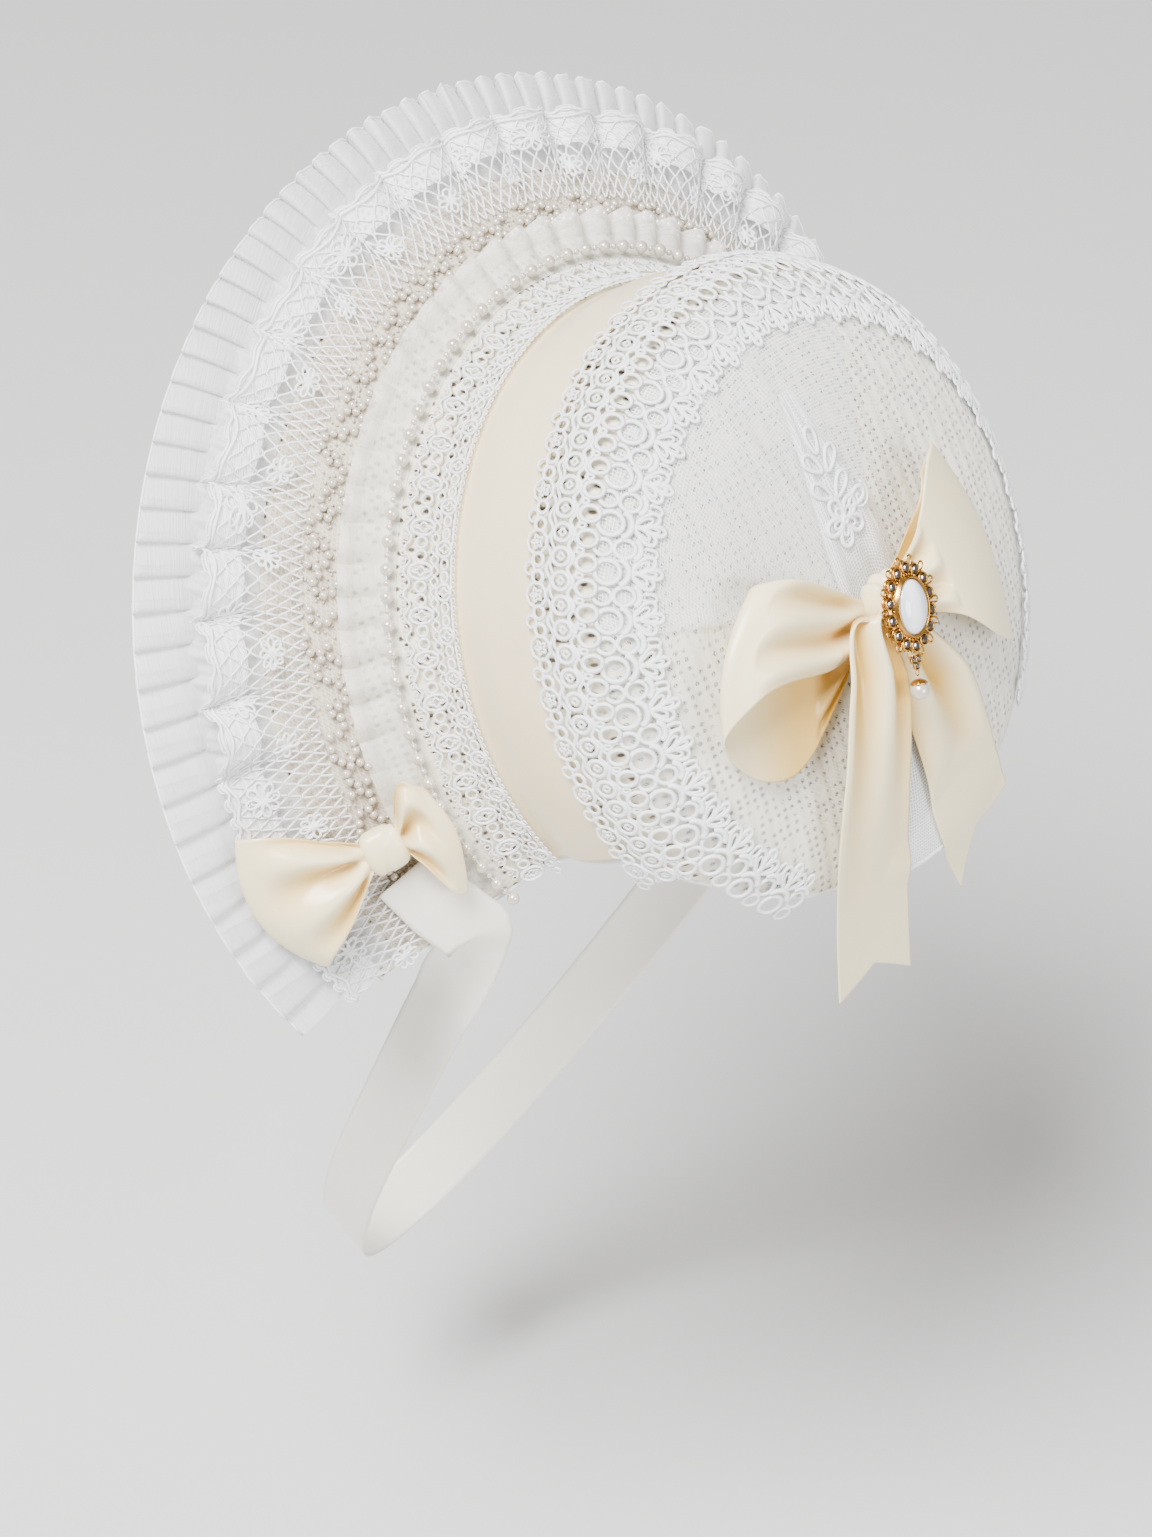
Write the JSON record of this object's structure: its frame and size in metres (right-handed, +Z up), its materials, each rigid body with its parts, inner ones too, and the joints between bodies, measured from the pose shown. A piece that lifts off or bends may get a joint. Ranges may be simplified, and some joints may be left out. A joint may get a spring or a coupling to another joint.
{
  "type": "half bonnet",
  "caption": "Half bonnet with a rounded soft crown, a flared lace brim with pleated edge, satin bows, pearl string, brooch and hanging chin ribbon.",
  "frame": {"origin": "the head seat, inside the crown under its highest part, where the bonnet sits on the head", "axes": "+Z up, the wearer faces -Y, +X is the wearer's left"},
  "size_m": [0.3688, 0.2545, 0.5018],
  "materials": {
    "crown_knit": "cream openwork knit on a stiffened ground",
    "cream_satin": "cream satin",
    "white_satin": "white satin ribbon",
    "white_lace": "white cotton lace",
    "sheer_white": "sheer white organza and tulle",
    "beige_net": "beige beaded net",
    "pearl": "pearl coating",
    "gold_plate": "polished gold plate",
    "cats_eye_glass": "polished white cat's eye",
    "rhinestone": "cut and foiled"
  },
  "bodies": {
    "root": {"crown": "crown_knit", "brim": "crown_knit", "satin_band": "cream_satin", "back_bow_loop_left": "cream_satin", "back_bow_loop_right": "cream_satin", "back_bow_tail_left": "cream_satin", "back_bow_tail_right": "cream_satin", "back_bow_knot": "cream_satin", "side_bow_left_outer_loop": "cream_satin", "side_bow_left_inner_loop": "cream_satin", "side_bow_left_knot": "cream_satin", "side_bow_right_outer_loop": "cream_satin", "side_bow_right_inner_loop": "cream_satin", "side_bow_right_knot": "cream_satin", "chin_ribbon": "white_satin", "front_lace": "white_lace", "crown_lace": "white_lace", "lace_frill": "white_lace", "organza_frill": "sheer_white", "pleated_ruffle": "sheer_white", "tulle_overlay": "sheer_white", "tulle_fan": "sheer_white", "tulle_end": "sheer_white", "bead_net_band": "beige_net", "pearl_string": "pearl", "brooch_drop_pearl": "pearl", "brooch_setting": "gold_plate", "brooch_drop_link": "gold_plate", "brooch_cabochon": "cats_eye_glass", "rhinestone_01": "rhinestone", "rhinestone_02": "rhinestone", "rhinestone_03": "rhinestone", "rhinestone_04": "rhinestone", "rhinestone_05": "rhinestone", "rhinestone_06": "rhinestone", "rhinestone_07": "rhinestone", "rhinestone_08": "rhinestone", "rhinestone_09": "rhinestone", "rhinestone_10": "rhinestone", "rhinestone_11": "rhinestone", "rhinestone_12": "rhinestone", "rhinestone_13": "rhinestone", "rhinestone_14": "rhinestone"}
  },
  "joints": []
}
